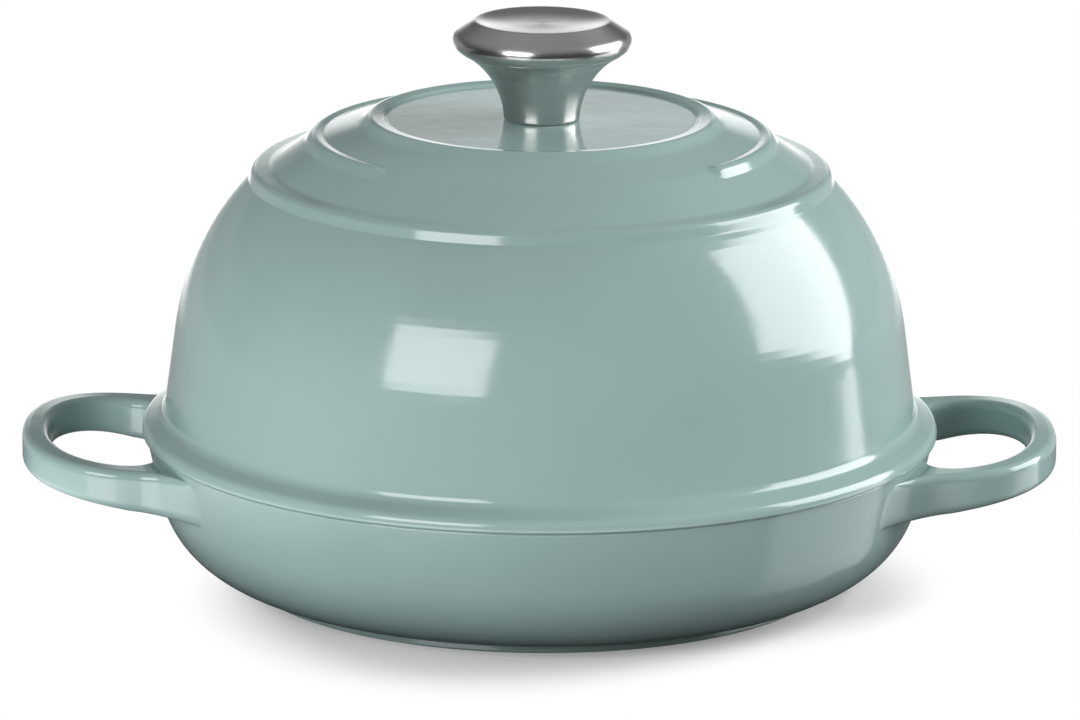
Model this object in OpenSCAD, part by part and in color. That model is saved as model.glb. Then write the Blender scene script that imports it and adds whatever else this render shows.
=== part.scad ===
// Bread cloche in enamelled cast iron: a shallow pan with two loop handles and a deep domed lid
// with a stainless steel knob. Millimetres, +Z up, origin on the table under the pan's centre,
// handles along X, the gap in the lid's middle ring towards -Y.

/* [Seat] */
// Diameter over the lid's rim
rim_d = 250; // [230:1:280]
// Height of the seat, where the lid rests on the pan, above the table
seat_h = 46.5; // [43:0.5:60]
// How far the pan's rim stands back from the lid's rim
rim_step = 1.2; // [0.6:0.1:2.5]
// How far the lid's locating lip reaches down into the pan
lip_depth = 4; // [2.5:0.5:6]
// Width of the gap between the lip and the pan's wall, at the lip's lower edge
lip_clearance = 1.8; // [1:0.1:3]

/* [Pan] */
// Thickness of the pan's wall and floor
pan_wall = 3.8; // [3.5:0.1:5]
// Lean of the pan's wall from the vertical, in degrees
pan_draft = 12.5; // [8:0.5:16]
// Outer radius of the curve between the pan's wall and its underside
pan_corner_r = 30; // [24:1:34]
// Height of the foot ring that the pan stands on
foot_h = 2.5; // [1.5:0.1:4]
// Diameter over the foot ring
foot_d = 186; // [160:1:188]
// Width of the flat face of the foot ring
foot_w = 11; // [6:1:20]
// Depth of the recess inside the foot ring
foot_recess = 1.2; // [0.6:0.1:2]
// Number of raised rings on the pan's floor
floor_rings = 5; // [2:1:6]
// Distance from one floor ring to the next
floor_ring_pitch = 15; // [12:0.5:16]
// Width of each floor ring
floor_ring_w = 4; // [3:0.5:6]
// Height of each floor ring
floor_ring_h = 0.9; // [0.5:0.1:1.5]

/* [Handles] */
// How far a handle reaches out past the lid's rim
handle_reach = 37.6; // [34:0.1:50]
// Width over a handle's loop, along the pan's side
handle_span = 99; // [90:1:120]
// Width of the handle's bar along its arms, seen from above
handle_bar_w = 10.5; // [8:0.5:14]
// Width of the bar at the tip of the loop, seen from above
handle_tip_w = 8.5; // [7:0.5:14]
// Height of the handle's bar
handle_bar_h = 10.8; // [9:0.1:14]
// Radius of the bar's rounded edges
handle_edge_r = 2.6; // [1:0.1:4]
// Height of the bar's middle above the table at the tip of the loop
handle_tip_z = 42.6; // [36:0.1:48]
// How far the bar's middle drops from the tip to where the arms begin
handle_drop = 3.1; // [0:0.1:5]
// How far the inside of each arm spreads where it runs into the pan's wall
handle_fillet = 15; // [8:0.5:18]
// How far the outside of each arm spreads where it runs into the pan's wall
handle_flare = 12; // [3:0.5:16]
// How much deeper each arm is where it meets the pan's wall
handle_gusset = 4.5; // [2:0.5:8]

/* [Lid] */
// Thickness of the lid's wall
lid_wall = 3.8; // [3.5:0.1:5]
// Height of the lid's rim at its edge, before the edge is rounded
flange_h = 3.3; // [3:0.1:5]
// Radius of the rounded upper edge of the lid's rim
flange_bead_r = 3.2; // [1.2:0.1:3.4]
// Slope of the upper side of the lid's rim, in degrees
flange_slope = 25; // [18:1:35]
// Radius of the hollow between the rim and the dome's wall
flange_fillet_r = 4; // [2.5:0.5:9]
// Width of the lid's rim outside the foot of the dome's wall
flange_w = 6.95; // [6:0.05:9]
// Lean of the dome's wall from the vertical, in degrees
dome_draft = 7.7; // [5:0.1:10]
// Height above the seat at which the dome's wall begins to curve inwards
dome_wall_h = 33.5; // [25:0.5:45]
// Radius of the dome's shoulder
shoulder_r = 83; // [78:1:90]
// Diameter at the foot of the outer step
outer_step_d = 182.8; // [178:0.2:188]
// Height of the outer step
outer_step_h = 4; // [3:0.1:5]
// Width of the flatter band inside the outer step
outer_band_w = 6; // [5:0.5:8]
// Slope of that band, in degrees
outer_band_slope = 3; // [0:0.5:10]
// Slope of the dome's upper side outside the middle ring, in degrees
crown_slope = 35; // [30:0.5:37]
// Slope of the dome's upper side inside the middle ring, in degrees
crown_top_slope = 16.5; // [12:0.5:19]
// Diameter of the middle ring, measured at its crest
middle_ring_d = 142; // [136:1:146]
// Width of the middle ring
middle_ring_w = 5.6; // [4.6:0.2:8]
// Height of the middle ring above the crown
middle_ring_h = 1.4; // [1:0.1:2.2]
// Angle that the middle ring leaves open at the front, in degrees
middle_ring_gap = 95; // [40:1:140]
// Diameter of the inner ring, measured at its crest
inner_ring_d = 105.4; // [98:0.2:112]
// Height of the inner ring above the crown outside it
inner_ring_h = 2.7; // [1.6:0.1:3.6]
// Depth of the flat disc inside the inner ring below its crest
disc_recess = 1.3; // [0.8:0.1:2]
// How far the lid is turned on its seat, in degrees
lid_turn = 1.5; // [-45:0.5:45]

/* [Knob] */
// Diameter of the knob's foot
knob_foot_d = 23.6; // [20:0.2:28]
// Height of the knob's neck, up to the joint with the cap
knob_neck_h = 21.4; // [20:0.1:22.5]
// Largest diameter of the knob
knob_d = 56; // [54:0.2:62]
// Radius of the knob's rounded side
knob_side_r = 3.5; // [3:0.1:4]
// How far the top of the neck stands back from the knob's side
knob_undercut = 2.5; // [2:0.1:5]
// Height of the knob's cap
knob_cap_h = 10; // [9.5:0.1:13]
// Diameter of the rim round the dished top
knob_rim_d = 42.4; // [36:0.2:44]
// Depth of the dished top
knob_dish = 1.2; // [0.6:0.1:3]
// Thickness of the neck's steel
knob_wall = 2; // [1.5:0.1:2.5]

/* [Fastening] */
// Thread diameter of the knob's screw
screw_d = 6; // [5:0.5:8]
// Diameter of the screw's head
screw_head_d = 12; // [10:0.5:14]
// Height of the screw's head
screw_head_h = 3.4; // [2.5:0.1:5]
// Width of the slot in the screw's head
screw_slot_w = 1.5; // [1:0.1:2]
// Length of the screw below its head
screw_length = 20; // [16:1:22]
// Radial gap between the screw and the holes that it passes through
screw_clearance = 0.4; // [0.3:0.05:0.8]
// Radial gap between the screw and the insert's thread, which is drawn plain
thread_clearance = 0.08; // [0.04:0.01:0.15]
// Outer diameter of the threaded insert in the knob
insert_d = 11; // [10:0.5:12]
// Depth of the insert's lower end inside the knob's foot
insert_recess = 1; // [0.5:0.1:3]
// Length of the threaded insert
insert_length = 14; // [10:0.5:16]
// Outer diameter of the flat washer
washer_d = 18; // [14:0.5:22]
// Thickness of the flat washer
washer_t = 1.6; // [1:0.1:2.5]
// Outer diameter of the spring washer
spring_washer_d = 11.8; // [10:0.2:14]
// Thickness of the spring washer
spring_washer_t = 1.6; // [1:0.1:2.2]

/* [Hidden] */
$fn = 96;
arc_step = 6;
edge_r = 0.8;
enamel = [0.60, 0.68, 0.66];
steel = [0.72, 0.73, 0.72];

rim_r = rim_d / 2;
pan_rim_r = rim_r - rim_step;
// The pan ends a hair below the seat, so that the two castings touch without sharing a face
pan_top_z = seat_h - 0.02;

// Centre of the curve between the pan's wall and its underside, which touches both
corner_z = foot_h + pan_corner_r;
corner_x = pan_rim_r - (pan_corner_r + (seat_h - corner_z) * sin(pan_draft)) / cos(pan_draft);
floor_z = foot_h + pan_wall;

// The lip is as wide as the dome's wall and stands inside the pan's rim
lip_z = seat_h - lip_depth;
lip_r = pan_rim_r - pan_wall / cos(pan_draft) - lip_depth * tan(pan_draft) - lip_clearance;

// Dome: foot of the wall on the rim's upper side, start and centre of the shoulder
wall_foot = [rim_r - flange_w, seat_h + flange_h + flange_w * tan(flange_slope)];
shoulder_z = seat_h + dome_wall_h;
shoulder_x = wall_foot.x - (shoulder_z - wall_foot.y) * tan(dome_draft);
shoulder_c = [shoulder_x, shoulder_z] - shoulder_r * [cos(dome_draft), sin(dome_draft)];
step_r = outer_step_d / 2;
step_a = acos((step_r - shoulder_c.x) / shoulder_r);
step_z = shoulder_c.y + shoulder_r * sin(step_a);

// Crown: the outer step's edge, the band inside it, the knee that the middle ring runs along, the
// foot of the inner ring and the disc
step_edge = [step_r - 0.27 * outer_step_h, step_z + outer_step_h];
band = step_edge + outer_band_w * [-1, tan(outer_band_slope)];
knee_x = middle_ring_d / 2;
knee = [knee_x, band.y + (band.x - knee_x) * tan(crown_slope)];
knee_slope = (crown_slope + crown_top_slope) / 2;
ring_top_w = 1.6;
ring_side_w = 3.2;
ring_foot_x = inner_ring_d / 2 + ring_top_w / 2 + ring_side_w;
ring_foot = [ring_foot_x, knee.y + (knee.x - ring_foot_x) * tan(crown_top_slope)];
crest_z = ring_foot.y + inner_ring_h;
disc_z = crest_z - disc_recess;
lid_ceiling_z = disc_z - lid_wall;

// Knob: its foot stands on the disc, and its neck is an arc that is upright 1 mm under the foot
neck_top_z = disc_z + knob_neck_h;
neck_top_r = knob_d / 2 - knob_undercut;
neck_spread = neck_top_r - knob_foot_d / 2;
neck_rise = knob_neck_h + 1;
neck_r = (pow(neck_spread, 2) + pow(neck_rise, 2)) / (2 * neck_spread);
neck_c = [knob_foot_d / 2 + neck_r, neck_top_z - neck_rise];
knob_top_z = neck_top_z + knob_cap_h;
insert_z = disc_z + insert_recess;
hole_r = screw_d / 2 + screw_clearance;

// The washers hang under the lid's ceiling, the screw's head under the washers
washer_z = lid_ceiling_z - washer_t;
spring_z = washer_z - spring_washer_t;
head_z = spring_z - screw_head_h;

// Handles: the loop's outer and inner ovals, a little squarer than ellipses, end at one distance
// from the pan's axis, where the roots of the arms begin
oval_power = 0.86;
tip_x = rim_r + handle_reach;
outer_x = rim_r + 1.5;
outer_a = tip_x - outer_x;
outer_b = handle_span / 2;
arm_r = norm([outer_x, outer_b]);
inner_b = outer_b - handle_bar_w;
inner_x = sqrt(pow(arm_r, 2) - pow(inner_b, 2));
inner_a = tip_x - handle_tip_w - inner_x;
arm_z = handle_tip_z - handle_drop;
arm_wall_r = pan_rim_r - (seat_h - arm_z) * tan(pan_draft);
gusset_len = 36;
root_steps = 10;
loop_step = 5;
bar_sides = 28;

function unit(v) = v / norm(v);

function arc(c, r, from, to) =
    let (n = max(2, ceil(abs(to - from) / arc_step)))
    [for (i = [0:n]) let (a = from + (to - from) * i / n) c + r * [cos(a), sin(a)]];

// One corner of a closed outline, replaced by an arc that touches both of its sides
function corner(before, at, after, r) =
    let (u = unit(before - at),
         v = unit(after - at),
         half = acos(u * v) / 2,
         c = at + unit(u + v) * r / sin(half),
         first = at + u * r / tan(half) - c,
         last = at + v * r / tan(half) - c,
         from = atan2(first.y, first.x),
         turn = (atan2(last.y, last.x) - from + 540) % 360 - 180)
    arc(c, r, from, from + turn);

// A closed outline from corners written as [x, y, radius]; a corner with radius 0 stays sharp
function rounded(path) =
    let (n = len(path), flat = [for (p = path) [p[0], p[1]]])
    [for (i = [0:n - 1])
        each path[i][2] == 0
            ? [flat[i]]
            : corner(flat[(i + n - 1) % n], flat[i], flat[(i + 1) % n], path[i][2])];

function sharp(points) = [for (p = points) [p[0], p[1], 0]];

function reversed(list) = [for (i = [len(list) - 1:-1:0]) list[i]];

// The pan's side from its underside to its rim, moved inwards by a share of the wall
function pan_side(inset) =
    concat(arc([corner_x, corner_z], pan_corner_r - inset, -90, -pan_draft),
           [[pan_rim_r - inset / cos(pan_draft), pan_top_z]]);

// A raised ring on the pan's floor, with its corners from the outside inwards
function floor_ring(x) =
    [[x + floor_ring_w / 2, floor_z, 0.8],
     [x + floor_ring_w / 4, floor_z + floor_ring_h, 0.5],
     [x - floor_ring_w / 4, floor_z + floor_ring_h, 0.5],
     [x - floor_ring_w / 2, floor_z, 0.8]];

module pan_shell() {
    outside = pan_side(0);
    inside = reversed(pan_side(pan_wall));
    foot_r = foot_d / 2;
    top_edge = len(outside) - 1;
    rotate_extrude()
        polygon(rounded(concat(
            [[0, foot_recess, 0],
             [foot_r - foot_w, foot_recess, 1],
             [foot_r - foot_w, 0, 0.4],
             [foot_r, 0, edge_r],
             [foot_r, foot_h, 0]],
            sharp([for (i = [1:top_edge - 1]) outside[i]]),
            [[outside[top_edge].x, pan_top_z, edge_r],
             [inside[0].x, pan_top_z, edge_r]],
            sharp([for (i = [1:len(inside) - 1]) inside[i]]),
            [for (i = [floor_rings:-1:1]) each floor_ring((i - 0.25) * floor_ring_pitch)],
            [[0, floor_z, 0]])));
}

// How far a curve of radius r has spread sideways at a distance from the wall
function spread(gap, r) = gap >= r ? 0 : r - sqrt(r * r - pow(r - gap, 2));

// How far the underside of an arm has dropped at a distance from the wall
function sag(gap) = gap >= gusset_len ? 0 : handle_gusset * pow(1 - gap / gusset_len, 1.7);

// A point of the bar's section seen from its middle: w wide, h high, with rounded edges
function bar_point(i, w, h, low_r) =
    let (n = bar_sides / 4,
         edge = floor(i / n),
         t = 90 * (edge + (i % n) / (n - 1)),
         r = edge < 2 ? handle_edge_r : low_r)
    [(edge == 0 || edge == 3 ? 1 : -1) * (w / 2 - r) + r * cos(t),
     (edge < 2 ? 1 : -1) * (h / 2 - r) + r * sin(t)];

// Section of the loop at an angle round its ovals, between the outer and the inner one
function loop_section(a) =
    let (along = pow(cos(a), oval_power),
         across = sign(a) * pow(abs(sin(a)), oval_power),
         outer = [outer_x + outer_a * along, outer_b * across],
         inner = [inner_x + inner_a * along, inner_b * across],
         outer_gap = norm(outer) - arm_wall_r,
         inner_gap = norm(inner) - arm_wall_r,
         from = inner - [0, sign(a) * spread(inner_gap, handle_fillet)],
         to = outer + [0, sign(a) * spread(outer_gap, handle_flare)],
         drop = sag((outer_gap + inner_gap) / 2),
         mid_z = handle_tip_z - handle_drop * (1 - cos(a)) - drop / 2)
    [for (i = [0:bar_sides - 1])
        let (u = bar_point(i, norm(to - from), handle_bar_h + drop, handle_edge_r),
             p = (from + to) / 2 + u.x * unit(to - from))
        [p.x, p.y, mid_z + u.y]];

// Section of an arm's root at a share of its length, on a curve that keeps one gap to the wall.
// The last section lies inside the wall
function root_section(side, share) =
    let (gap = share < 1 ? (arm_r - arm_wall_r) * (1 - sin(90 * share)) : 0,
         from_y = inner_b - spread(gap, handle_fillet),
         to_y = outer_b + spread(gap, handle_flare),
         from_z = arm_z - handle_bar_h / 2 - sag(gap),
         to_z = arm_z + handle_bar_h / 2 - 1.2 * share,
         low_r = handle_edge_r + 2 * share * share,
         sunk = share < 1 ? 0 : pan_wall / 2)
    [for (i = [0:bar_sides - 1])
        let (u = bar_point(i, to_y - from_y, to_z - from_z, low_r),
             y = (from_y + to_y) / 2 + u.x,
             z = (from_z + to_z) / 2 + u.y,
             r = arm_wall_r + gap - sunk + share * (z - arm_z) * tan(pan_draft))
        [sqrt(r * r - y * y), side * y, z]];

module loop_handle() {
    rings = concat(
        [for (i = [root_steps + 1:-1:1]) root_section(-1, i / (root_steps + 1))],
        [for (a = [-90:loop_step:90]) loop_section(a)],
        [for (i = [1:root_steps + 1]) root_section(1, i / (root_steps + 1))]);
    last = len(rings) - 1;
    points = [for (ring = rings) each ring];
    sides = [for (j = [0:last - 1], i = [0:bar_sides - 1])
        let (k = (i + 1) % bar_sides,
             a = j * bar_sides + i,
             b = j * bar_sides + k,
             c = b + bar_sides,
             d = a + bar_sides)
        each [[a, b, c], [a, c, d]]];
    start_cap = [for (i = [bar_sides - 1:-1:0]) i];
    end_cap = [for (i = [0:bar_sides - 1]) last * bar_sides + i];
    polyhedron(points, concat(sides, [start_cap, end_cap]), convexity = 4);
}

module base_pan() {
    mid_wall = pan_side(pan_wall / 2);
    color(enamel) {
        pan_shell();
        difference() {
            for (side = [0, 180]) rotate(side) loop_handle();
            rotate_extrude()
                polygon(concat([[0, foot_h]], mid_wall, [[mid_wall[len(mid_wall) - 1].x, tip_x],
                                                         [0, tip_x]]));
        }
    }
}

// Corners of the rim, from the dome's wall out and down to the seat
function flange_path() =
    [[wall_foot.x, wall_foot.y, flange_fillet_r],
     [rim_r, seat_h + flange_h, flange_bead_r],
     [rim_r, seat_h, edge_r]];

module lid_shell() {
    wall_in_r = lip_r - lid_wall;
    inner_r = shoulder_r - lid_wall;
    inner_knee = knee - lid_wall * [sin(knee_slope), cos(knee_slope)];
    crest_x = inner_ring_d / 2;
    rotate_extrude()
        polygon(rounded(concat(
            [[hole_r, lid_ceiling_z, 0],
             [hole_r, disc_z, 0],
             [crest_x - ring_top_w / 2 - disc_recess, disc_z, 1],
             [crest_x - ring_top_w / 2, crest_z, 1],
             [crest_x + ring_top_w / 2, crest_z, 1.2],
             [ring_foot.x, ring_foot.y, 6],
             [knee.x, knee.y, 12],
             [band.x, band.y, 4],
             [step_edge.x, step_edge.y, 3],
             [step_r, step_z, 0.8]],
            sharp(arc(shoulder_c, shoulder_r, step_a - 1.5, dome_draft)),
            flange_path(),
            [[lip_r, seat_h, edge_r],
             [lip_r, lip_z, 1.2],
             [wall_in_r, lip_z, 1.2]],
            sharp(arc(shoulder_c, inner_r, dome_draft, step_a)),
            [[inner_knee.x, inner_knee.y, 10],
             [crest_x - 8, lid_ceiling_z, 10]])));
}

// The middle ring lies along the crown's knee, is open at the front and ends in round noses
module middle_ring() {
    bead_r = (pow(middle_ring_w / 2, 2) + pow(middle_ring_h, 2)) / (2 * middle_ring_h);
    sunk = middle_ring_h - bead_r;
    root = 1.5;
    module section() {
        intersection() {
            translate([0, sunk]) circle(bead_r);
            translate([-middle_ring_w, -root]) square([2 * middle_ring_w, root + middle_ring_h]);
        }
    }
    from = -90 + middle_ring_gap / 2;
    rotate(from)
        rotate_extrude(angle = 360 - middle_ring_gap)
            translate(knee) rotate(-knee_slope) section();
    for (a = [from, -90 - middle_ring_gap / 2])
        rotate(a)
            translate([knee.x, 0, knee.y])
                rotate([0, knee_slope, 0])
                    rotate_extrude()
                        intersection() {
                            section();
                            translate([0, -root]) square(2 * middle_ring_w);
                        }
}

module dome_lid() {
    color(enamel)
        rotate(lid_turn) {
            lid_shell();
            middle_ring();
        }
}

module knob_neck() {
    foot_r = knob_foot_d / 2;
    socket_r = insert_d / 2;
    // The hollow above the insert follows the neck's arc at the thickness of the steel
    hollow_r = neck_r + knob_wall;
    hollow_z = insert_z + insert_length + knob_wall;
    hollow_top_z = neck_top_z - knob_wall;
    color(steel)
        difference() {
            rotate_extrude()
                polygon(rounded(concat(
                    [[0, disc_z, 0],
                     [foot_r, disc_z, 1]],
                    sharp(arc(neck_c, neck_r, 174, 180 - asin(neck_rise / neck_r))),
                    [[0, neck_top_z, 0]])));
            translate([0, 0, insert_z]) cylinder(r = socket_r, h = insert_length);
            translate([0, 0, disc_z - 1]) cylinder(r = hole_r, h = insert_recess + 2);
            rotate_extrude()
                polygon(concat(
                    [[0, hollow_z]],
                    arc(neck_c, hollow_r, 180 - asin((hollow_z - neck_c.y) / hollow_r),
                        180 - asin((hollow_top_z - neck_c.y) / hollow_r)),
                    [[0, hollow_top_z]]));
        }
}

module knob_cap() {
    side_c = [knob_d / 2 - knob_side_r, neck_top_z + knob_side_r + 0.2];
    rim = knob_rim_d / 2;
    dish_w = rim - 1;
    dish_steps = 10;
    color(steel)
        rotate_extrude()
            polygon(rounded(concat(
                [[0, neck_top_z, 0],
                 [neck_top_r, neck_top_z, 0.3]],
                sharp(arc(side_c, knob_side_r, -58, 60)),
                [[rim, knob_top_z, 1.2]],
                sharp([for (i = [dish_steps:-1:0])
                    let (t = i / dish_steps)
                    [dish_w * t, knob_top_z - knob_dish * (1 - pow(t, 4))]]))));
}

module knob_insert() {
    color("goldenrod")
        translate([0, 0, insert_z])
            difference() {
                cylinder(d = insert_d, h = insert_length);
                translate([0, 0, -1])
                    cylinder(r = screw_d / 2 + thread_clearance, h = insert_length + 2);
            }
}

module knob_screw() {
    head_r = screw_head_d / 2;
    color(steel)
        difference() {
            rotate_extrude()
                polygon(rounded(
                    [[0, head_z, 0],
                     [head_r, head_z, screw_head_h * 0.6],
                     [head_r, spring_z, 0],
                     [screw_d / 2, spring_z, 0],
                     [screw_d / 2, spring_z + screw_length, 0.6],
                     [0, spring_z + screw_length, 0]]));
            translate([-head_r - 1, -screw_slot_w / 2, head_z - 1])
                cube([2 * head_r + 2, screw_slot_w, 1 + screw_head_h * 0.45]);
        }
}

module flat_washer() {
    color(steel)
        translate([0, 0, washer_z])
            difference() {
                cylinder(d = washer_d, h = washer_t);
                translate([0, 0, -1]) cylinder(r = hole_r, h = washer_t + 2);
            }
}

module spring_washer() {
    slit_w = 0.9;
    color(steel)
        translate([0, 0, spring_z])
            difference() {
                cylinder(d = spring_washer_d, h = spring_washer_t);
                translate([0, 0, -1]) cylinder(r = hole_r, h = spring_washer_t + 2);
                rotate([35, 0, 0])
                    translate([0, -slit_w / 2, -2 * spring_washer_t])
                        cube([spring_washer_d, slit_w, 5 * spring_washer_t]);
            }
}

base_pan();
dome_lid();
knob_neck();
knob_cap();
knob_insert();
knob_screw();
flat_washer();
spring_washer();
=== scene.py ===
"""Looks of a bread cloche in grey-green enamel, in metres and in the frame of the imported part."""

import math

import bpy
from mathutils import Euler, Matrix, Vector


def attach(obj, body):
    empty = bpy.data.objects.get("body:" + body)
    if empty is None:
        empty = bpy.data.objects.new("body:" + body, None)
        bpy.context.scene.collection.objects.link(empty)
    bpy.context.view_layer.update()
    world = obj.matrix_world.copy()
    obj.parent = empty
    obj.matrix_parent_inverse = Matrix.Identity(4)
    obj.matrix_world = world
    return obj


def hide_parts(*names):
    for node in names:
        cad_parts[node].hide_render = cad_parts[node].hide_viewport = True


MM = 0.001

# Finish of a face, as the place of its material in its piece: the outer one or the black one inside
OUTSIDE, INSIDE = 0, 1

# Divisions round each turned piece
PAN_SIDES = 256
LID_SIDES = 512
KNOB_SIDES = 192

# Sides of outlines from this length up get short sides at their ends, to look flat when smooth
SHORT_SIDE = 1.5
GUARD = 0.3

# Seat and lid, in millimetres as in the part's source
RIM_R = 125
SEAT_H = 46.5
PAN_RIM_R = 123.8
LIP_DEPTH = 4
LIP_CLEARANCE = 1.8
LIP_EDGE_R = 1.2
EDGE_R = 0.8

# Pan
WALL = 3.8
PAN_DRAFT = 12.5
PAN_CORNER_R = 30
FOOT_H = 2.5
FOOT_R = 93
FOOT_W = 11
FOOT_RECESS = 1.2
FOOT_RECESS_R = 1
FOOT_EDGE_R = 0.4
FOOT_ROOT_R = 0.5
FLOOR_RINGS = 5
FLOOR_PITCH = 15
FLOOR_RING_SHIFT = 0.25
FLOOR_RING_W = 4
FLOOR_RING_H = 0.9
FLOOR_RING_FOOT_R = 0.8
FLOOR_RING_TOP_R = 0.5

# Handles
REACH = 37.6
LOOP_B = 49.5
ARM_OUT = 1.5
BAR_W = 10.5
TIP_W = 8.5
BAR_H = 10.8
TIP_Z = 42.6
ARM_Z = 39.5
OVAL_POWER = 0.86
BAR_EDGE_R = 2.6
FILLET = 15
FLARE = 12
GUSSET = 4.5
GUSSET_LEN = 36
GUSSET_POWER = 1.7

# Their roots: lower on top and rounder below at the wall, then wider and sunk inside it
ROOT_STEPS = 22
ROOT_ENDS = [1.2, 1.5, 1.8, 2]
ROOT_LOWER = 1.2
ROOT_ROUNDER = 2
ROOT_SPREAD = 4
ROOT_DEEPER = 0.6
ROOT_HIGHER = 0.3
ROOT_SUNK = 0.5

# Lid
FLANGE_W = 6.95
FLANGE_H = 3.3
BEAD_R = 3.2
FLANGE_SLOPE = 25
FLANGE_FILLET_R = 4
DOME_DRAFT = 7.7
DOME_WALL_H = 33.5
SHOULDER_R = 83
STEP_R = 91.4
STEP_H = 4
STEP_LEAN = 0.27
STEP_EDGE_R = 2.2
STEP_FOOT_R = 0.8
STEP_FOOT_A = 1.5
BAND_W = 6
BAND_SLOPE = 3
BAND_EDGE_R = 4
CROWN_SLOPE = 35
TOP_SLOPE = 16.5
KNEE_BEND = 1.5
MIDDLE_R = 71
MIDDLE_W = 5.6
MIDDLE_H = 1.4
MIDDLE_GAP = 95
MIDDLE_SPREAD = 0.62
MIDDLE_POWER = 1.5
INNER_R = 52.7
INNER_H = 2.7
INNER_TOP_W = 1.6
INNER_SIDE_W = 3.2
INNER_FOOT_R = 6
DISC_RECESS = 1.3
CEILING_IN = 8
CEILING_BEND_R = 10
HOLE_R = 3.4
HOLE_EDGE_R = 0.3
LID_TURN = 1.5

# Inner ring from the disc outwards: distance from its middle, depth below its crest, and rounding
INNER_CREST = ((-4.3, DISC_RECESS, 1), (-3.2, 0.5, 1.2), (1, 0, 2.2))

# Width on each side of the crown's knee where it is cut fine for the middle ring, and the cut
KNEE_ZONE = 5.2
KNEE_CUT = 0.4

# Knob
NECK_FOOT_R = 11.8
NECK_H = 21.4
NECK_SUNK = 1
NECK_START = 173
NECK_FOOT_OUT = 0.05
NECK_FOOT_EDGE_R = 1
SEAM_R = 0.12
KNOB_R = 28
SIDE_R = 3.5
SIDE_ARC = (-58, 60)
SIDE_LIFT = 0.2
UNDERCUT = 2.5
CAP_H = 10
CAP_RIM_R = 21.2
CAP_RIM_W = 1
CAP_RIM_EDGE_R = 1.2
DISH = 1.2
DISH_STEPS = 16
DISH_POWER = 3.2

# Finishes: colours in linear light, their darkest and lightest shades, and ranges of roughness
ENAMEL = (0.275, 0.390, 0.377)
ENAMEL_SHADES = (0.965, 1.03)
ENAMEL_ROUGHNESS = (0.10, 0.15)
ENAMEL_RIPPLE = 0.035
ENAMEL_IOR = 1.52
BLACK = (0.018, 0.018, 0.020)
BLACK_SHADES = (0.8, 1.35)
BLACK_ROUGHNESS = (0.38, 0.50)
BLACK_GRAIN = 0.05
STEEL = (0.57, 0.575, 0.56)
STEEL_SHADES = (0.93, 1.04)
STEEL_STRETCH = (0.15, 0.15, 6)
STEEL_GROOVE = 0.0015
STEEL_SPREAD = (0.8, 1.2)
STEEL_ANISOTROPY = 0.6
STEEL_ROTATION = 0.25
BRASS = (0.66, 0.50, 0.24)
BRASS_SHADES = (0.85, 1.05)
BRASS_STRETCH = (0.2, 0.2, 5)
BRASS_ROUGHNESS = (0.25, 0.4)
NOISE_SPAN = (0.3, 0.7)
WHITE = (1, 1, 1, 1)

# World as diffuse rays see it: grey, lighter on the left and at the back, and darker overhead
SKY = 0.18
SKY_LEFT = 0.45
SKY_SIDE = (0.2, -1.0)
SKY_BACK = 0.7
SKY_TOP = 0.60
SKY_RISE = (0.3, 0.9)

# World as gloss sees it: a dim room, lighter overhead, with a bright wall low on the far side
ROOM_FRONT = 0.05
ROOM_TOP = 0.36
WALL_GLOW = 1.6
WALL_FAR = (0.3, 0.7)
WALL_TOP = (0.15, 0.27)
WALL_SIDE = (0.08, 0.28)
WALL_REST = 0.15

# Floor, in metres from here on: what it gives back to light, and what the camera sees of it
FLOOR_HALF = 12
FLOOR_ROUGHNESS = 0.12
FLOOR_BACK = 0.06
FLOOR_SEEN = 0.9
FLOOR_GLOW = 0.18
SHADOW_C = (0.012, -0.033)
SHADOW_FADE = (0.088, 0.126)

# Glow of the floor that the camera doesn't see: far behind, beside and before the object
BEHIND_Y = (0.3, 0.6)
BEHIND_SIDE = (0.15, 0.45)
FLOOR_SIDES = 0.22
BESIDE_Y = (0.12, 0.20)
FLOOR_FRONT = 3.0
FRONT_WAY = (-0.5, -0.866, 0)
FRONT_AHEAD = (0.0, 0.20)
FRONT_NEAR = (0.14, 0.22)
FRONT_FAR = (0.24, 0.36)

# Lamps
LAMP_AIM = (0, 0, 0.09)
LAMP_DISTANCE = 1.6

# Photograph's frame and the camera that the rims' ellipses give, in pixels and degrees
PHOTO_W = 1080
PHOTO_H = 720
FOCAL_PX = 7466
AXIS_PX = (540, 427.85)
CAMERA_DISTANCE = 2352 * MM
CAMERA_ELEVATION = 14.835
CAMERA_ROLL = 0.4
CAMERA_AZIMUTH = -0.8
SENSOR_W = 36


def sind(a):
    return math.sin(math.radians(a))


def cosd(a):
    return math.cos(math.radians(a))


def tand(a):
    return math.tan(math.radians(a))


# Where those sizes put the pan's corner, the shoulder, the step, the crown, the disc and the knob
CORNER_Z = FOOT_H + PAN_CORNER_R
CORNER_X = PAN_RIM_R - (PAN_CORNER_R + (SEAT_H - CORNER_Z) * sind(PAN_DRAFT)) / cosd(PAN_DRAFT)
FLOOR_Z = FOOT_H + WALL
LIP_Z = SEAT_H - LIP_DEPTH
LIP_R = PAN_RIM_R - WALL / cosd(PAN_DRAFT) - LIP_DEPTH * tand(PAN_DRAFT) - LIP_CLEARANCE
WALL_X = RIM_R - FLANGE_W
WALL_Z = SEAT_H + FLANGE_H + FLANGE_W * tand(FLANGE_SLOPE)
SHOULDER_Z = SEAT_H + DOME_WALL_H
SHOULDER_X = WALL_X - (SHOULDER_Z - WALL_Z) * tand(DOME_DRAFT)
DOME_C = (SHOULDER_X - SHOULDER_R * cosd(DOME_DRAFT), SHOULDER_Z - SHOULDER_R * sind(DOME_DRAFT))
STEP_A = math.degrees(math.acos((STEP_R - DOME_C[0]) / SHOULDER_R))
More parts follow.
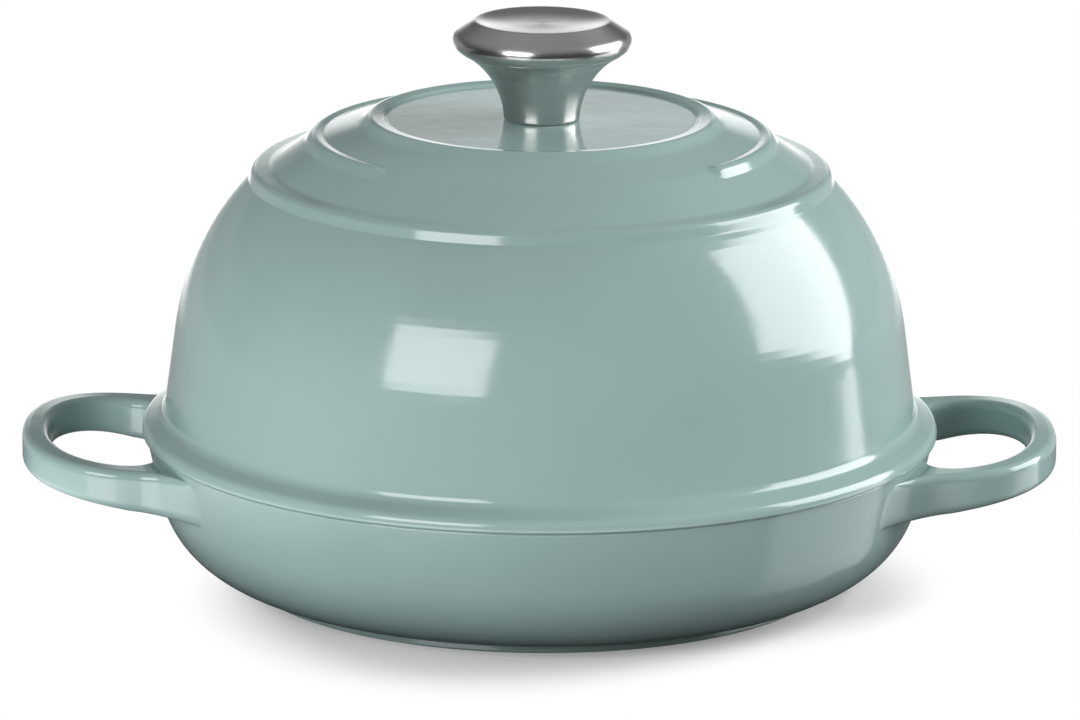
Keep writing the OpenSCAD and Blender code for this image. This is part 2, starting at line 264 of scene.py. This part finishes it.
STEP_Z = DOME_C[1] + SHOULDER_R * sind(STEP_A)
EDGE_X = STEP_R - STEP_LEAN * STEP_H
EDGE_Z = STEP_Z + STEP_H
BAND_X = EDGE_X - BAND_W
BAND_Z = EDGE_Z + BAND_W * tand(BAND_SLOPE)
KNEE_Z = BAND_Z + (BAND_X - MIDDLE_R) * tand(CROWN_SLOPE)
KNEE_SLOPE = (CROWN_SLOPE + TOP_SLOPE) / 2
INNER_FOOT_X = INNER_R + INNER_TOP_W / 2 + INNER_SIDE_W
INNER_FOOT_Z = KNEE_Z + (MIDDLE_R - INNER_FOOT_X) * tand(TOP_SLOPE)
CREST_Z = INNER_FOOT_Z + INNER_H
DISC_Z = CREST_Z - DISC_RECESS
CEILING_Z = DISC_Z - WALL
NECK_TOP_Z = DISC_Z + NECK_H
NECK_TOP_R = KNOB_R - UNDERCUT
NECK_RISE = NECK_H + NECK_SUNK
NECK_R = ((NECK_TOP_R - NECK_FOOT_R) ** 2 + NECK_RISE ** 2) / (2 * (NECK_TOP_R - NECK_FOOT_R))
NECK_C = (NECK_FOOT_R + NECK_R, NECK_TOP_Z - NECK_RISE)
KNOB_TOP_Z = NECK_TOP_Z + CAP_H
TIP_X = RIM_R + REACH
OUTER_X = RIM_R + ARM_OUT
ARM_R = math.hypot(OUTER_X, LOOP_B)
ARM_WALL_R = PAN_RIM_R - (SEAT_H - ARM_Z) * tand(PAN_DRAFT)
INNER_B = LOOP_B - BAR_W
INNER_X = math.sqrt(ARM_R ** 2 - INNER_B ** 2)


def crown_z(x):
    """Height of the crown near its knee, where the two slopes meet in a soft bend."""
    u = x - MIDDLE_R
    steep, flat = tand(CROWN_SLOPE), tand(TOP_SLOPE)
    bend = math.hypot(u, KNEE_BEND)
    return KNEE_Z - (steep + flat) / 2 * u - (steep - flat) / 2 * bend


def arc(centre, r, start, end, step=3):
    """Points of an arc from one angle to another, at most a step apart."""
    n = max(2, math.ceil(abs(end - start) / step))
    return [(centre[0] + r * cosd(start + (end - start) * i / n),
             centre[1] + r * sind(start + (end - start) * i / n)) for i in range(n + 1)]


def corner(before, at, after, r):
    """An arc of radius r in place of one corner of an outline, touching both of its sides."""
    u = Vector((before[0] - at[0], before[1] - at[1])).normalized()
    v = Vector((after[0] - at[0], after[1] - at[1])).normalized()
    half = math.acos(max(-1, min(1, u.dot(v)))) / 2
    middle = Vector(at[:2]) + (u + v).normalized() * r / math.sin(half)
    first = Vector(at[:2]) + u * r / math.tan(half) - middle
    last = Vector(at[:2]) + v * r / math.tan(half) - middle
    start = math.degrees(math.atan2(first.y, first.x))
    turn = (math.degrees(math.atan2(last.y, last.x)) - start + 540) % 360 - 180
    return arc(middle, r, start, start + turn, step=9)


def outline(path):
    """Points (x, z, finish) of an outline from corners (x, z, radius, finish of the next side)."""
    points = []
    for i, (x, z, r, finish) in enumerate(path):
        if r:
            bend = corner(path[i - 1], (x, z), path[(i + 1) % len(path)], r)
            points += [(px, pz, path[i - 1][3]) for px, pz in bend[:-1]]
            points.append((*bend[-1], finish))
        else:
            points.append((x, z, finish))
    return points


def sharp(points, finish=OUTSIDE):
    """Corners without a radius."""
    return [(x, z, 0, finish) for x, z in points]


def filled(points, longest):
    """The outline with its long sides divided, and with short sides next to their ends."""
    made = []
    for i, (x, z, finish) in enumerate(points):
        made.append((x, z, finish))
        if i + 1 == len(points):
            break
        nx, nz, _ = points[i + 1]
        length = math.hypot(nx - x, nz - z)
        if length < SHORT_SIDE:
            continue
        n = max(1, math.ceil((length - 2 * GUARD) / longest))
        for j in range(n + 1):
            t = (GUARD + (length - 2 * GUARD) * j / n) / length
            made.append((x + (nx - x) * t, z + (nz - z) * t, finish))
    return made


def lathed(points, sides, shift=None):
    """Vertices, faces and finishes of an outline turned round Z, closed where it meets the axis.

    The shift moves a point out and up by an amount that follows its place and angle.
    """
    vertices, faces, finishes, rings = [], [], [], []
    for x, z, _ in points:
        if x < 1e-6:
            rings.append([len(vertices)] * sides)
            vertices.append((0, 0, z * MM))
            continue
        rings.append(range(len(vertices), len(vertices) + sides))
        for k in range(sides):
            a = 360 * k / sides
            dx, dz = shift(x, z, a) if shift else (0, 0)
            r = x + dx
            vertices.append((r * cosd(a) * MM, r * sind(a) * MM, (z + dz) * MM))
    for i in range(len(points) - 1):
        low, high = rings[i], rings[i + 1]
        for k in range(sides):
            n = (k + 1) % sides
            face = list(dict.fromkeys((low[k], low[n], high[n], high[k])))
            if len(face) > 2:
                faces.append(face)
                finishes.append(points[i][2])
    return vertices, faces, finishes


def lofted(rings):
    """Vertices and faces of closed sections joined in a row, with both ends closed."""
    sides = len(rings[0])
    vertices = [(x * MM, y * MM, z * MM) for ring in rings for x, y, z in ring]
    faces = [list(range(sides))[::-1],
             [len(vertices) - sides + i for i in range(sides)]]
    for j in range(len(rings) - 1):
        for i in range(sides):
            k = (i + 1) % sides
            a, b = j * sides + i, j * sides + k
            faces.append([a, b, b + sides, a + sides])
    return vertices, faces


def make_piece(name, body, node, parts, materials):
    """One smooth mesh of parts (vertices, faces, finishes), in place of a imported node."""
    vertices, faces, finishes = [], [], []
    for part_vertices, part_faces, part_finishes in parts:
        start = len(vertices)
        vertices += part_vertices
        faces += [[start + i for i in face] for face in part_faces]
        finishes += part_finishes
    mesh = bpy.data.meshes.new(name)
    mesh.from_pydata(vertices, [], faces)
    for material in materials:
        mesh.materials.append(material)
    mesh.polygons.foreach_set("use_smooth", [True] * len(faces))
    mesh.polygons.foreach_set("material_index", finishes)
    mesh.update()
    mesh.validate()
    piece = bpy.data.objects.new(name, mesh)
    bpy.context.scene.collection.objects.link(piece)
    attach(piece, body)
    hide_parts(node)


def pan_side(inset):
    """The pan's side from its underside to its rim, moved inwards."""
    return (arc((CORNER_X, CORNER_Z), PAN_CORNER_R - inset, -90, -PAN_DRAFT)
            + [(PAN_RIM_R - inset / cosd(PAN_DRAFT), SEAT_H)])


def pan_outline():
    """The pan's section, from the middle of its underside over the rim to that of its floor."""
    outer_side, inner_side = pan_side(0), pan_side(WALL)[::-1]
    path = [(0, FOOT_RECESS, 0, OUTSIDE),
            (FOOT_R - FOOT_W, FOOT_RECESS, FOOT_RECESS_R, OUTSIDE),
            (FOOT_R - FOOT_W, 0, FOOT_EDGE_R, OUTSIDE),
            (FOOT_R, 0, EDGE_R, OUTSIDE),
            (FOOT_R, FOOT_H, FOOT_ROOT_R, OUTSIDE)]
    path += sharp(outer_side[1:-1])
    path += [(outer_side[-1][0], SEAT_H, EDGE_R, INSIDE),
             (inner_side[0][0], SEAT_H, EDGE_R, INSIDE)]
    path += sharp(inner_side[1:], INSIDE)
    for i in range(FLOOR_RINGS, 0, -1):
        x = (i - FLOOR_RING_SHIFT) * FLOOR_PITCH
        foot, top = FLOOR_RING_W / 2, FLOOR_RING_W / 4
        path += [(x + foot, FLOOR_Z, FLOOR_RING_FOOT_R, INSIDE),
                 (x + top, FLOOR_Z + FLOOR_RING_H, FLOOR_RING_TOP_R, INSIDE),
                 (x - top, FLOOR_Z + FLOOR_RING_H, FLOOR_RING_TOP_R, INSIDE),
                 (x - foot, FLOOR_Z, FLOOR_RING_FOOT_R, INSIDE)]
    path.append((0, FLOOR_Z, 0, INSIDE))
    return filled(outline(path), longest=5)


def spread(gap, r):
    """How far a curve of radius r has spread sideways at a distance from the wall."""
    return 0 if gap >= r else r - math.sqrt(r * r - (r - gap) ** 2)


def sag(gap):
    """How far the underside of an arm has dropped at a distance from the wall."""
    return 0 if gap >= GUSSET_LEN else GUSSET * (1 - gap / GUSSET_LEN) ** GUSSET_POWER


def bar_points(w, h, low_r):
    """The bar's section round its middle, w wide and h high, with rounded edges."""
    points = []
    for edge, (sx, sz) in enumerate(((1, 1), (-1, 1), (-1, -1), (1, -1))):
        r = BAR_EDGE_R if edge < 2 else low_r
        x, z = sx * (w / 2 - r), sz * (h / 2 - r)
        bend = [(cosd(90 * edge + t), sind(90 * edge + t)) for t in range(0, 91, 10)]
        (ax, az), (bx, bz) = bend[0], bend[-1]
        # A point just before and after each rounded edge keeps the sides flat in smooth shading
        points.append((x + r * ax + GUARD * az, z + r * az - GUARD * ax))
        points += [(x + r * c, z + r * s) for c, s in bend]
        points.append((x + r * bx - GUARD * bz, z + r * bz + GUARD * bx))
    return points


def loop_section(a):
    """The bar's section at an angle from the tip of the loop, which is a flattened oval."""
    side = (a > 0) - (a < 0)
    along, sideways = cosd(a) ** OVAL_POWER, side * abs(sind(a)) ** OVAL_POWER
    outer = Vector((OUTER_X + (TIP_X - OUTER_X) * along, LOOP_B * sideways))
    inner = Vector((INNER_X + (TIP_X - TIP_W - INNER_X) * along, INNER_B * sideways))
    outer_gap, inner_gap = outer.length - ARM_WALL_R, inner.length - ARM_WALL_R
    inner.y -= side * spread(inner_gap, FILLET)
    outer.y += side * spread(outer_gap, FLARE)
    drop = sag((outer_gap + inner_gap) / 2)
    z = TIP_Z - (TIP_Z - ARM_Z) * (1 - cosd(a)) - drop / 2
    across = outer - inner
    middle = (outer + inner) / 2
    return [(*(middle + across.normalized() * u), z + v)
            for u, v in bar_points(across.length, BAR_H + drop, BAR_EDGE_R)]


def root_section(side, share):
    """Section of an arm's root, on a curve with one gap to the wall. Past 1 it sinks in there."""
    past = max(0, share - 1)
    share = min(1, share)
    gap = (ARM_R - ARM_WALL_R) * (1 - sind(90 * share))
    y0 = INNER_B - spread(gap, FILLET) - ROOT_SPREAD * past
    y1 = LOOP_B + spread(gap, FLARE) + ROOT_SPREAD * past
    z0 = ARM_Z - BAR_H / 2 - sag(gap) - ROOT_DEEPER * past
    z1 = ARM_Z + BAR_H / 2 - ROOT_LOWER * share + ROOT_HIGHER * past
    ring = []
    for u, v in bar_points(y1 - y0, z1 - z0, BAR_EDGE_R + ROOT_ROUNDER * share * share):
        y, z = (y0 + y1) / 2 + u, (z0 + z1) / 2 + v
        r = ARM_WALL_R + gap - ROOT_SUNK * past + share * (z - ARM_Z) * tand(PAN_DRAFT)
        ring.append((math.sqrt(r * r - y * y), side * y, z))
    return ring


def loop_handle(turn):
    """One handle, from root to root, turned half round for the left side."""
    shares = [i / ROOT_STEPS for i in range(1, ROOT_STEPS + 1)] + ROOT_ENDS
    rings = [root_section(-1, share) for share in shares[::-1]]
    rings += [loop_section(a) for a in range(-90, 91, 2)]
    rings += [root_section(1, share) for share in shares]
    vertices, faces = lofted([[(turn * x, turn * y, z) for x, y, z in ring] for ring in rings])
    return vertices, faces, [OUTSIDE] * len(faces)


def lid_outline():
    """The lid's section from its hole, over the crown and down to the lip, and back up inside."""
    knee_in = (MIDDLE_R - WALL * sind(KNEE_SLOPE), KNEE_Z - WALL * cosd(KNEE_SLOPE))
    zone = [MIDDLE_R - KNEE_ZONE + KNEE_CUT * i for i in range(round(2 * KNEE_ZONE / KNEE_CUT) + 1)]
    path = [(HOLE_R, CEILING_Z, HOLE_EDGE_R, INSIDE), (HOLE_R, DISC_Z, HOLE_EDGE_R, OUTSIDE)]
    path += [(INNER_R + out, CREST_Z - down, r, OUTSIDE) for out, down, r in INNER_CREST]
    path += [(INNER_FOOT_X, INNER_FOOT_Z, INNER_FOOT_R, OUTSIDE)]
    path += sharp([(x, crown_z(x)) for x in zone])
    path += [(BAND_X, BAND_Z, BAND_EDGE_R, OUTSIDE),
             (EDGE_X, EDGE_Z, STEP_EDGE_R, OUTSIDE),
             (STEP_R, STEP_Z, STEP_FOOT_R, OUTSIDE)]
    path += sharp(arc(DOME_C, SHOULDER_R, STEP_A - STEP_FOOT_A, DOME_DRAFT, step=2))
    path += [(WALL_X, WALL_Z, FLANGE_FILLET_R, OUTSIDE),
             (RIM_R, SEAT_H + FLANGE_H, BEAD_R, OUTSIDE),
             (RIM_R, SEAT_H, EDGE_R, INSIDE),
             (LIP_R, SEAT_H, EDGE_R, INSIDE),
             (LIP_R, LIP_Z, LIP_EDGE_R, INSIDE),
             (LIP_R - WALL, LIP_Z, LIP_EDGE_R, INSIDE)]
    path += sharp(arc(DOME_C, SHOULDER_R - WALL, DOME_DRAFT, STEP_A, step=2), INSIDE)
    path += [(*knee_in, CEILING_BEND_R, INSIDE),
             (INNER_R - CEILING_IN, CEILING_Z, CEILING_BEND_R, INSIDE),
             (HOLE_R, CEILING_Z, 0, INSIDE)]
    return filled(outline(path), longest=4)


def middle_ring(x, z, a):
    """How far the middle ring lifts the crown, square to the knee that it runs along."""
    if z < crown_z(x) - 1 or abs(x - MIDDLE_R) > KNEE_ZONE:
        return 0, 0
    from_front = (a + 90 - LID_TURN + 180) % 360 - 180
    past_end = max(0, math.radians(MIDDLE_GAP / 2 - abs(from_front)) * MIDDLE_R)
    across = (x - MIDDLE_R) / cosd(KNEE_SLOPE)
    d = math.hypot(across, past_end) / (MIDDLE_W * MIDDLE_SPREAD)
    h = MIDDLE_H * (1 - d * d) ** MIDDLE_POWER if d < 1 else 0
    return h * sind(KNEE_SLOPE), h * cosd(KNEE_SLOPE)


def neck_outline():
    """The neck's section: an arc that flares from its foot on the disc to the cap's underside."""
    top = 180 - math.degrees(math.asin(NECK_RISE / NECK_R))
    neck = arc(NECK_C, NECK_R, NECK_START, top, step=2)
    path = [(0, DISC_Z, 0, OUTSIDE),
            (NECK_FOOT_R + NECK_FOOT_OUT, DISC_Z, NECK_FOOT_EDGE_R, OUTSIDE)]
    path += sharp(neck[:-1])
    path += [(*neck[-1], SEAM_R, OUTSIDE), (0, NECK_TOP_Z, 0, OUTSIDE)]
    return filled(outline(path), longest=3)


def cap_outline():
    """The cap's section: a round side, and a dish with a nearly flat middle, up to the rim."""
    side = arc((KNOB_R - SIDE_R, NECK_TOP_Z + SIDE_R + SIDE_LIFT), SIDE_R, *SIDE_ARC, step=4)
    dish_w = CAP_RIM_R - CAP_RIM_W
    dish = [(dish_w * i / DISH_STEPS, KNOB_TOP_Z - DISH * (1 - (i / DISH_STEPS) ** DISH_POWER))
            for i in range(DISH_STEPS, -1, -1)]
    path = [(0, NECK_TOP_Z, 0, OUTSIDE), (NECK_TOP_R, NECK_TOP_Z, SEAM_R, OUTSIDE)]
    path += sharp(side) + [(CAP_RIM_R, KNOB_TOP_Z, CAP_RIM_EDGE_R, OUTSIDE)] + sharp(dish)
    return filled(outline(path), longest=2)


def new_material(name):
    """A material with its node tree and its shader."""
    material = bpy.data.materials.new(name)
    material.use_nodes = True
    return material, material.node_tree, material.node_tree.nodes["Principled BSDF"]


def feed(tree, socket, source):
    """Links another node's output to a socket, or gives the socket a constant."""
    if isinstance(source, bpy.types.NodeSocket):
        tree.links.new(source, socket)
    else:
        socket.default_value = source


def noise(tree, scale, detail, stretch=(1, 1, 1)):
    """Noise in the object's own coordinates, with scale in features per metre."""
    where = tree.nodes.new("ShaderNodeTexCoord")
    mapping = tree.nodes.new("ShaderNodeMapping")
    feed(tree, mapping.inputs["Vector"], where.outputs["Object"])
    feed(tree, mapping.inputs["Scale"], stretch)
    made = tree.nodes.new("ShaderNodeTexNoise")
    feed(tree, made.inputs["Vector"], mapping.outputs["Vector"])
    feed(tree, made.inputs["Scale"], scale)
    feed(tree, made.inputs["Detail"], detail)
    return made.outputs["Fac"]


def ramp_up(tree, source, low, high, start=0.0, end=1.0, kind="SMOOTHSTEP"):
    """A change of value from start to end while the source goes from low to high."""
    made = tree.nodes.new("ShaderNodeMapRange")
    made.interpolation_type = kind
    feed(tree, made.inputs["Value"], source)
    for name, value in (("From Min", low), ("From Max", high), ("To Min", start), ("To Max", end)):
        feed(tree, made.inputs[name], value)
    return made.outputs["Result"]


def scaled(tree, source, low, high):
    """Noise as a value between low and high."""
    return ramp_up(tree, source, *NOISE_SPAN, low, high, "LINEAR")


def tint(tree, source, colour, dark, light):
    """The colour from a darker to a lighter shade of itself, following noise."""
    ramp = tree.nodes.new("ShaderNodeValToRGB")
    for element, place, shade in zip(ramp.color_ramp.elements, NOISE_SPAN, (dark, light)):
        element.position = place
        element.color = (*[c * shade for c in colour], 1)
    feed(tree, ramp.inputs["Fac"], source)
    return ramp.outputs["Color"]


def bump(tree, shader, source, height):
    made = tree.nodes.new("ShaderNodeBump")
    feed(tree, made.inputs["Height"], source)
    feed(tree, made.inputs["Strength"], 1.0)
    feed(tree, made.inputs["Distance"], height * MM)
    feed(tree, shader.inputs["Normal"], made.outputs["Normal"])


def enamel_material():
    """Glossy enamel: a deep smooth coat with a faint ripple and a little uneven colour."""
    material, tree, shader = new_material("enamel")
    cloud = noise(tree, scale=18, detail=3)
    speck = noise(tree, scale=260, detail=2)
    ripple = noise(tree, scale=110, detail=1.5)
    feed(tree, shader.inputs["Base Color"], tint(tree, cloud, ENAMEL, *ENAMEL_SHADES))
    feed(tree, shader.inputs["Roughness"], scaled(tree, speck, *ENAMEL_ROUGHNESS))
    feed(tree, shader.inputs["IOR"], ENAMEL_IOR)
    bump(tree, shader, ripple, ENAMEL_RIPPLE)
    return material


def inner_material():
    """Satin black enamel, with the fine grain that it has inside the pan and the dome."""
    material, tree, shader = new_material("inner_enamel")
    cloud = noise(tree, scale=60, detail=4)
    grain = noise(tree, scale=900, detail=2)
    feed(tree, shader.inputs["Base Color"], tint(tree, cloud, BLACK, *BLACK_SHADES))
    feed(tree, shader.inputs["Roughness"], scaled(tree, cloud, *BLACK_ROUGHNESS))
    bump(tree, shader, grain, BLACK_GRAIN)
    return material


def turned_metal(name, colour, shades, roughness, lines, stretch):
    """Turned metal: fine rings round the axis, drawn as noise stretched round it."""
    material, tree, shader = new_material(name)
    streak = noise(tree, scale=lines, detail=3, stretch=stretch)
    feed(tree, shader.inputs["Metallic"], 1.0)
    feed(tree, shader.inputs["Base Color"], tint(tree, streak, colour, *shades))
    feed(tree, shader.inputs["Roughness"], scaled(tree, streak, *roughness))
    return material, tree, shader, streak


def steel_material(name, roughness, lines):
    """Turned steel, whose lines run round the axis and spread a highlight across them."""
    rough = [roughness * share for share in STEEL_SPREAD]
    material, tree, shader, streak = turned_metal(
        name, STEEL, STEEL_SHADES, rough, lines, STEEL_STRETCH)
    bump(tree, shader, streak, STEEL_GROOVE)
    tangent = tree.nodes.new("ShaderNodeTangent")
    tangent.direction_type = "RADIAL"
    tangent.axis = "Z"
    feed(tree, shader.inputs["Tangent"], tangent.outputs["Tangent"])
    feed(tree, shader.inputs["Anisotropic"], STEEL_ANISOTROPY)
    feed(tree, shader.inputs["Anisotropic Rotation"], STEEL_ROTATION)
    return material


def brass_material():
    return turned_metal(
        "turned_brass", BRASS, BRASS_SHADES, BRASS_ROUGHNESS, lines=300, stretch=BRASS_STRETCH)[0]


def dress(node, material):
    """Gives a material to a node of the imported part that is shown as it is."""
    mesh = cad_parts[node].data
    mesh.materials.clear()
    mesh.materials.append(material)


def make_camera():
    data = bpy.data.cameras.new("camera")
    data.sensor_width = SENSOR_W
    data.lens = FOCAL_PX * SENSOR_W / PHOTO_W
    data.clip_start = 0.1
    data.clip_end = 50
    camera = bpy.data.objects.new("camera", data)
    away = CAMERA_DISTANCE * cosd(CAMERA_ELEVATION)
    camera.location = (away * sind(CAMERA_AZIMUTH),
                       -away * cosd(CAMERA_AZIMUTH),
                       SEAT_H * MM + CAMERA_DISTANCE * sind(CAMERA_ELEVATION))
    # The seat's middle stands below the middle of the frame, so the camera aims above it
    up = math.atan((AXIS_PX[1] - PHOTO_H / 2) / FOCAL_PX)
    left = math.atan((AXIS_PX[0] - PHOTO_W / 2) / FOCAL_PX)
    turn = Euler((math.radians(90 - CAMERA_ELEVATION) + up, 0, left + math.radians(CAMERA_AZIMUTH)))
    roll = Euler((0, 0, math.radians(CAMERA_ROLL)))
    camera.rotation_mode = "QUATERNION"
    camera.rotation_quaternion = turn.to_quaternion() @ roll.to_quaternion()
    bpy.context.scene.collection.objects.link(camera)
    bpy.context.scene.camera = camera


def softbox(name, azimuth, elevation, size, strength, tilt=0.0):
    """A rectangular lamp that faces the object. Azimuth 0 is in front, and positive is right."""
    level = cosd(elevation)
    out = Vector((sind(azimuth) * level, -cosd(azimuth) * level, sind(elevation)))
    data = bpy.data.lights.new(name, "AREA")
    data.shape = "RECTANGLE"
    data.size, data.size_y = size
    data.energy = strength * size[0] * size[1] * math.pi
    lamp = bpy.data.objects.new(name, data)
    lamp.location = Vector(LAMP_AIM) + out * LAMP_DISTANCE
    lamp.rotation_mode = "QUATERNION"
    lamp.rotation_quaternion = (out.to_track_quat("Z", "Y")
                                @ Euler((0, 0, math.radians(tilt))).to_quaternion())
    bpy.context.scene.collection.objects.link(lamp)


def make_lights():
    softbox("softbox_left", azimuth=-33, elevation=20, size=(0.90, 0.72), strength=7.2)
    softbox("softbox_right", azimuth=99, elevation=23.5, size=(1.25, 1.15), strength=7.8, tilt=-25)


def coordinates(tree, kind):
    """A texture coordinate, and its X, Y and Z."""
    where = tree.nodes.new("ShaderNodeTexCoord").outputs[kind]
    parts = tree.nodes.new("ShaderNodeSeparateXYZ")
    feed(tree, parts.inputs["Vector"], where)
    return where, *parts.outputs


def combined(tree, operation, *sources):
    """The result of a math operation."""
    made = tree.nodes.new("ShaderNodeMath")
    made.operation = operation
    for socket, source in zip(made.inputs, sources):
        feed(tree, socket, source)
    return made.outputs["Value"]


def product(tree, first, *others):
    for other in others:
        first = combined(tree, "MULTIPLY", first, other)
    return first


def measured(tree, operation, source, vector):
    """The distance of a place from another, or its dot product with a direction."""
    made = tree.nodes.new("ShaderNodeVectorMath")
    made.operation = operation
    feed(tree, made.inputs[0], source)
    feed(tree, made.inputs[1], vector)
    return made.outputs["Value"]


def mixed(tree, factor, first, second):
    """The first colour where the factor is 0, and the second where it is 1."""
    made = tree.nodes.new("ShaderNodeMix")
    made.data_type = "RGBA"
    feed(tree, made.inputs["A"], first)
    feed(tree, made.inputs["B"], second)
    feed(tree, made.inputs["Factor"], factor)
    return made.outputs["Result"]


def make_world():
    """White to the camera. Diffuse rays see a grey sky, and gloss a dim room with a bright wall."""
    world = bpy.data.worlds.new("studio")
    world.use_nodes = True
    bpy.context.scene.world = world
    tree = world.node_tree
    path = tree.nodes.new("ShaderNodeLightPath")
    _, side, far, up = coordinates(tree, "Generated")
    wall = product(tree,
                   ramp_up(tree, up, *WALL_TOP, 1, 0),
                   ramp_up(tree, far, *WALL_FAR, 0, WALL_GLOW),
                   ramp_up(tree, combined(tree, "ABSOLUTE", side), *WALL_SIDE, 1, WALL_REST))
    gloss = combined(tree, "ADD", ramp_up(tree, up, 0, 1, ROOM_FRONT, ROOM_TOP), wall)
    sky = combined(tree, "ADD",
                   ramp_up(tree, side, *SKY_SIDE, SKY, SKY + SKY_LEFT),
                   ramp_up(tree, far, 0, 1, 0, SKY_BACK))
    sky = product(tree, sky, ramp_up(tree, up, *SKY_RISE, 1, SKY_TOP))
    unseen = mixed(tree, path.outputs["Is Glossy Ray"], sky, gloss)
    colour = mixed(tree, path.outputs["Is Camera Ray"], unseen, WHITE)
    feed(tree, tree.nodes["Background"].inputs["Color"], colour)


def floor_material():
    """To the camera near white with a soft shadow, to other rays dark apart from what glows."""
    material, tree, shader = new_material("floor")
    path = tree.nodes.new("ShaderNodeLightPath")
    seen, glossy = path.outputs["Is Camera Ray"], path.outputs["Is Glossy Ray"]
    unseen = combined(tree, "SUBTRACT", 1.0, seen)
    where, x, y, _ = coordinates(tree, "Object")
    away = measured(tree, "DISTANCE", where, (*SHADOW_C, 0))
    ahead = measured(tree, "DOT_PRODUCT", where, FRONT_WAY)

    # Past the soft edge of the shadow the camera sees plain white
    shade = ramp_up(tree, away, *SHADOW_FADE, FLOOR_SEEN, 0)
    white = ramp_up(tree, away, *SHADOW_FADE, FLOOR_GLOW, 1)

    # What glows in front lights the pan, and the rest shows only in reflections
    behind = product(tree,
                     ramp_up(tree, y, *BEHIND_Y, 0, WALL_GLOW), glossy,
                     ramp_up(tree, combined(tree, "ABSOLUTE", x), *BEHIND_SIDE, 1, WALL_REST))
    beside = product(tree, ramp_up(tree, y, *BESIDE_Y, 0, FLOOR_SIDES), glossy)
    front = product(tree,
                    ramp_up(tree, away, *FRONT_NEAR, 0, FLOOR_FRONT),
                    ramp_up(tree, away, *FRONT_FAR, 1, 0),
                    ramp_up(tree, ahead, *FRONT_AHEAD), unseen)
    glow = combined(tree, "ADD", combined(tree, "MAXIMUM", behind, beside), front)

    base = mixed(tree, seen, (*[FLOOR_BACK] * 3, 1), shade)
    feed(tree, shader.inputs["Base Color"], base)
    feed(tree, shader.inputs["Roughness"], FLOOR_ROUGHNESS)
    feed(tree, shader.inputs["Specular IOR Level"], unseen)
    feed(tree, shader.inputs["Emission Color"], WHITE)
    strength = combined(tree, "MULTIPLY_ADD", seen, white, glow)
    feed(tree, shader.inputs["Emission Strength"], strength)
    return material


def make_floor():
    half = FLOOR_HALF
    corners = [(-half, -half, 0), (half, -half, 0), (half, half, 0), (-half, half, 0)]
    mesh = bpy.data.meshes.new("floor")
    mesh.from_pydata(corners, [], [(0, 1, 2, 3)])
    mesh.materials.append(floor_material())
    floor = bpy.data.objects.new("floor", mesh)
    bpy.context.scene.collection.objects.link(floor)


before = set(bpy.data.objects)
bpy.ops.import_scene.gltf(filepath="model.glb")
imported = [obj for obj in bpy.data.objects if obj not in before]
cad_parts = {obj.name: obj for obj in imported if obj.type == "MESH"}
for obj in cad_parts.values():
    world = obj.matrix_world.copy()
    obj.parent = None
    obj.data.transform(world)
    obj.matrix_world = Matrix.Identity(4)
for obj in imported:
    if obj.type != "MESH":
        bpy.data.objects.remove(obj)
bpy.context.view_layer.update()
bpy.context.scene.view_settings.view_transform = "Standard"

make_camera()
make_lights()
make_world()
make_floor()

enamel = enamel_material()
inner_enamel = inner_material()
knob_steel = steel_material("polished_steel", roughness=0.25, lines=60)
fastener_steel = steel_material("fastener_steel", roughness=0.3, lines=200)

make_piece("pan_casting", "base", "base_pan",
           [lathed(pan_outline(), PAN_SIDES), loop_handle(1), loop_handle(-1)],
           [enamel, inner_enamel])
make_piece("lid_casting", "lid", "dome_lid",
           [lathed(lid_outline(), LID_SIDES, middle_ring)], [enamel, inner_enamel])
make_piece("knob_neck_turned", "lid", "knob_neck",
           [lathed(neck_outline(), KNOB_SIDES)], [knob_steel])
make_piece("knob_cap_turned", "lid", "knob_cap",
           [lathed(cap_outline(), KNOB_SIDES)], [knob_steel])
dress("knob_insert", brass_material())
for fastener in ("knob_screw", "flat_washer", "spring_washer"):
    dress(fastener, fastener_steel)
